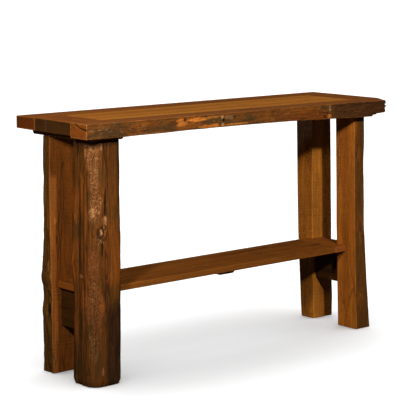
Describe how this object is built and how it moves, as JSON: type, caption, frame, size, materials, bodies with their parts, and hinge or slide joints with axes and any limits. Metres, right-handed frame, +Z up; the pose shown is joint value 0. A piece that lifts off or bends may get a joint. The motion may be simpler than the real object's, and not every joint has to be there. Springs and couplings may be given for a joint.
{
  "type": "console table",
  "caption": "Rustic console table with a framed plank top, a rough-hewn front rail, four natural wooden posts and a low plank shelf.",
  "frame": {"origin": "on the floor, under the middle of the top", "axes": "+X along the table towards its right end, +Y from the front to the back, +Z up"},
  "size_m": [1.219, 0.345, 0.762],
  "materials": {
    "hewn_rail_wood": "weathered, hewn face with fresh orange chips, satin",
    "frame_wood": "reddish brown reclaimed hardwood, satin wax",
    "plank_wood": "golden brown reclaimed hardwood, satin wax",
    "round_post_wood": "hand-dressed round post with worm tracks, matt",
    "sawn_post_wood": "sawn post with saw marks and barky faces, matt",
    "plate_wood": "dark brown, matt",
    "shelf_end_wood": "brown reclaimed hardwood, satin",
    "shelf_plank_wood": "brown and golden reclaimed hardwood, satin",
    "shelf_rail_wood": "brown reclaimed hardwood, matt",
    "screw_steel": "zinc-plated, dulled"
  },
  "bodies": {
    "root": {"batten_screw_1": "screw_steel", "batten_screw_2": "screw_steel", "batten_screw_3": "screw_steel", "lag_screw_front_left_1": "screw_steel", "lag_screw_front_left_2": "screw_steel", "lag_screw_front_right_1": "screw_steel", "lag_screw_front_right_2": "screw_steel", "lag_screw_rear_left_1": "screw_steel", "lag_screw_rear_left_2": "screw_steel", "lag_screw_rear_right_1": "screw_steel", "lag_screw_rear_right_2": "screw_steel", "left_top_plate": "plate_wood", "leg_front_left": "round_post_wood", "leg_front_right": "sawn_post_wood", "leg_rear_left": "sawn_post_wood", "leg_rear_right": "sawn_post_wood", "plate_screw_left_1": "screw_steel", "plate_screw_left_2": "screw_steel", "plate_screw_left_3": "screw_steel", "plate_screw_left_4": "screw_steel", "plate_screw_right_1": "screw_steel", "plate_screw_right_2": "screw_steel", "plate_screw_right_3": "screw_steel", "plate_screw_right_4": "screw_steel", "right_top_plate": "plate_wood", "shelf_batten": "plate_wood", "shelf_front_plank": "shelf_plank_wood", "shelf_left_end_board": "shelf_end_wood", "shelf_left_end_rail": "shelf_rail_wood", "shelf_middle_plank": "shelf_plank_wood", "shelf_rear_plank": "shelf_plank_wood", "shelf_right_end_board": "shelf_end_wood", "shelf_right_end_rail": "shelf_rail_wood", "shelf_screw_left_1": "screw_steel", "shelf_screw_left_2": "screw_steel", "shelf_screw_right_1": "screw_steel", "shelf_screw_right_2": "screw_steel", "top_front_plank": "plank_wood", "top_front_rail": "hewn_rail_wood", "top_left_end_board": "frame_wood", "top_middle_plank": "plank_wood", "top_rear_plank": "plank_wood", "top_rear_rail": "frame_wood", "top_right_end_board": "frame_wood"}
  },
  "joints": []
}
